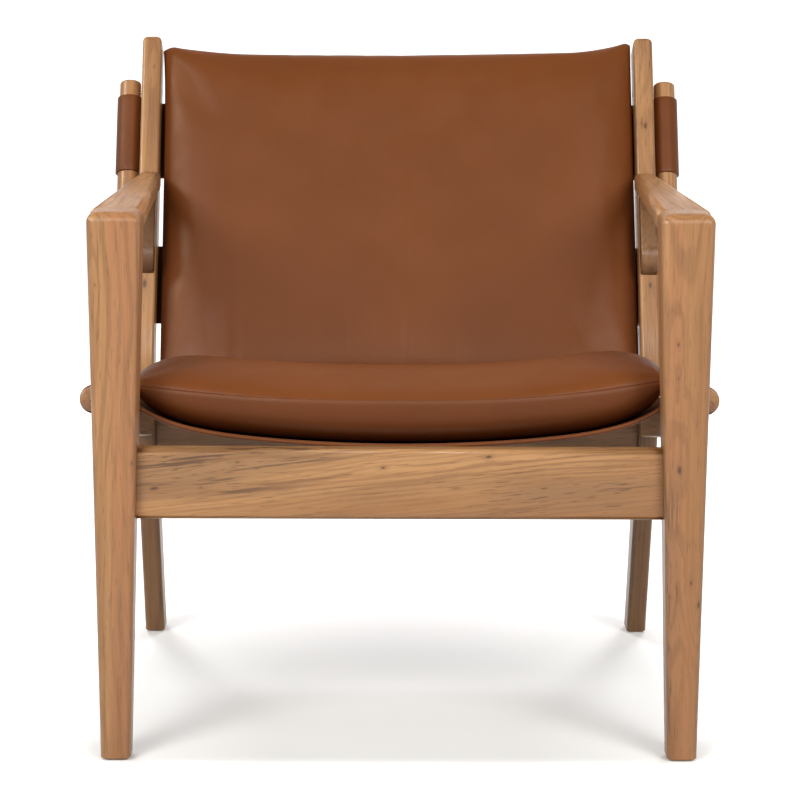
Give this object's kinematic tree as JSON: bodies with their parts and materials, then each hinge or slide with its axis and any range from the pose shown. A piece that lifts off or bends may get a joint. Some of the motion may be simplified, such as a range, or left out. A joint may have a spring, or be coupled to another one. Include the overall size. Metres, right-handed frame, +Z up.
{
  "type": "leather sling lounge chair",
  "caption": "Low wooden armchair with tapered front legs and raked posts, a leather sling seat and back on round poles, and loose leather cushions.",
  "frame": {"origin": "on the floor, under the middle of the chair's box", "axes": "+X to the viewer's right as the chair faces the viewer, +Y from the front of the chair to its back, +Z up"},
  "size_m": [0.7438, 0.736, 0.7899],
  "materials": {
    "frame_wood": "oiled hardwood with brown and pink streaks, satin",
    "dowel_wood": "plain pale hardwood",
    "sling_leather": "cognac leather, satin",
    "cushion_leather": "cognac leather, satin, fine grain",
    "screw_steel": "zinc plated",
    "glide_felt": "felt"
  },
  "bodies": {
    "frame": {"left_front_leg": "frame_wood", "right_front_leg": "frame_wood", "left_rear_post": "frame_wood", "right_rear_post": "frame_wood", "left_arm": "frame_wood", "right_arm": "frame_wood", "left_arm_block": "frame_wood", "right_arm_block": "frame_wood", "left_side_rail": "frame_wood", "right_side_rail": "frame_wood", "front_rail": "frame_wood", "rear_rail": "frame_wood", "left_seat_pole": "frame_wood", "right_seat_pole": "frame_wood", "left_back_pole": "frame_wood", "right_back_pole": "frame_wood", "seat_sling": "sling_leather", "back_sling": "sling_leather", "back_cushion": "cushion_leather", "left_front_rail_dowel_1": "dowel_wood", "left_front_rail_dowel_2": "dowel_wood", "right_front_rail_dowel_1": "dowel_wood", "right_front_rail_dowel_2": "dowel_wood", "left_rear_rail_dowel_1": "dowel_wood", "left_rear_rail_dowel_2": "dowel_wood", "right_rear_rail_dowel_1": "dowel_wood", "right_rear_rail_dowel_2": "dowel_wood", "left_side_rail_dowel_1": "dowel_wood", "left_side_rail_dowel_2": "dowel_wood", "left_side_rail_dowel_3": "dowel_wood", "left_side_rail_dowel_4": "dowel_wood", "right_side_rail_dowel_1": "dowel_wood", "right_side_rail_dowel_2": "dowel_wood", "right_side_rail_dowel_3": "dowel_wood", "right_side_rail_dowel_4": "dowel_wood", "left_arm_dowel_1": "dowel_wood", "left_arm_dowel_2": "dowel_wood", "left_arm_dowel_3": "dowel_wood", "right_arm_dowel_1": "dowel_wood", "right_arm_dowel_2": "dowel_wood", "right_arm_dowel_3": "dowel_wood", "left_arm_block_dowel_1": "dowel_wood", "left_arm_block_dowel_2": "dowel_wood", "right_arm_block_dowel_1": "dowel_wood", "right_arm_block_dowel_2": "dowel_wood", "left_seat_pole_screw_1": "screw_steel", "left_seat_pole_screw_2": "screw_steel", "right_seat_pole_screw_1": "screw_steel", "right_seat_pole_screw_2": "screw_steel", "left_back_pole_screw_1": "screw_steel", "left_back_pole_screw_2": "screw_steel", "right_back_pole_screw_1": "screw_steel", "right_back_pole_screw_2": "screw_steel", "left_foot_glide_1": "glide_felt", "left_foot_glide_2": "glide_felt", "right_foot_glide_1": "glide_felt", "right_foot_glide_2": "glide_felt"},
    "seat_cushion": {"seat_cushion": "cushion_leather"}
  },
  "joints": [
    {"name": "seat_cushion_lift", "type": "slide", "parent": "frame", "child": "seat_cushion", "axis": [0, 0, 1], "range_m": [0, 0.12]}
  ]
}
